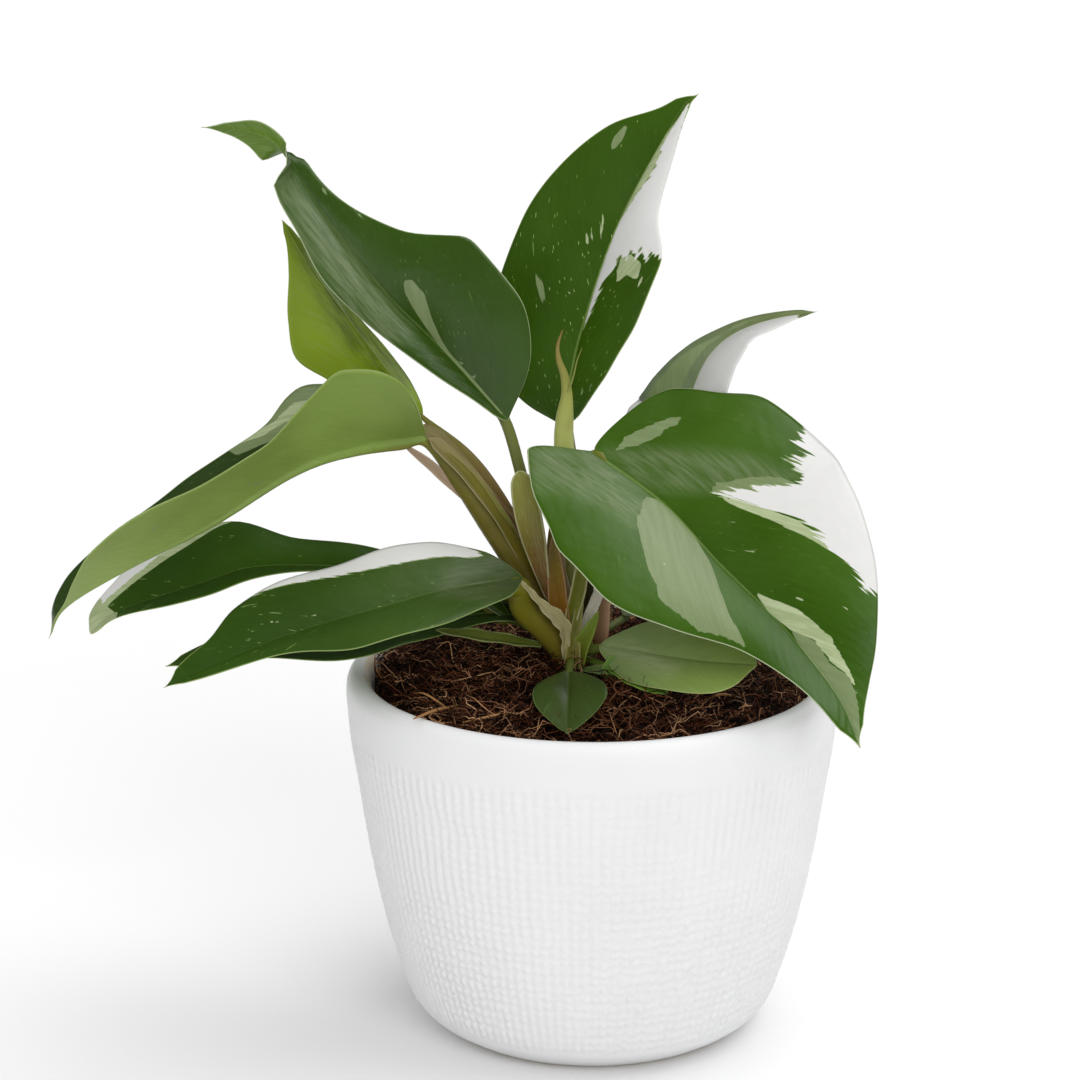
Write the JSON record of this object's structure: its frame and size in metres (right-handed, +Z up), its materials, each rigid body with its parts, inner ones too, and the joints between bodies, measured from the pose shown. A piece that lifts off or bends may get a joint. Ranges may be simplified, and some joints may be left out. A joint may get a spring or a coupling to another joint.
{
  "type": "potted variegated philodendron",
  "caption": "Climbing aroid house plant with large dark green and white leaves on long stalks, rooted in coir in a round white ribbed ceramic pot.",
  "frame": {"origin": "centre of the pot's flat foot, on the surface that it stands on", "axes": "+Z up through the pot's middle; -Y towards the plant's best side, with the long leaves to -X and the large one to +X"},
  "size_m": [0.2291, 0.14, 0.2627],
  "materials": {
    "pot": "matte white glaze",
    "coir": "loose brown coconut fibre",
    "crown": "scarred olive brown stem",
    "stalk": "smooth satin olive green",
    "sheath": "thin, dry to leathery, with a pale edge",
    "leaf": "waxy satin dark green with white and grey green patches"
  },
  "bodies": {
    "root": {"pot": "pot", "coir": "coir", "crown": "crown", "petiole_upper_left": "stalk", "petiole_upper_back": "stalk", "petiole_right_back": "stalk", "petiole_large_right": "stalk", "petiole_long_left": "stalk", "petiole_young_left": "stalk", "petiole_middle_left": "stalk", "petiole_low_left": "stalk", "petiole_low_left_under": "stalk", "petiole_small_right": "stalk", "petiole_small_right_under": "stalk", "petiole_small_back": "stalk", "petiole_small_front": "stalk", "new_leaf_spike": "stalk", "sheath_front": "sheath", "sheath_long_left": "sheath", "sheath_low_left": "sheath", "blade_upper_left": "leaf", "blade_upper_back": "leaf", "blade_right_back": "leaf", "blade_large_right": "leaf", "blade_long_left": "leaf", "blade_young_left": "leaf", "blade_middle_left": "leaf", "blade_low_left": "leaf", "blade_low_left_under": "leaf", "blade_small_right": "leaf", "blade_small_right_under": "leaf", "blade_small_back": "leaf", "blade_small_front": "leaf"}
  },
  "joints": []
}
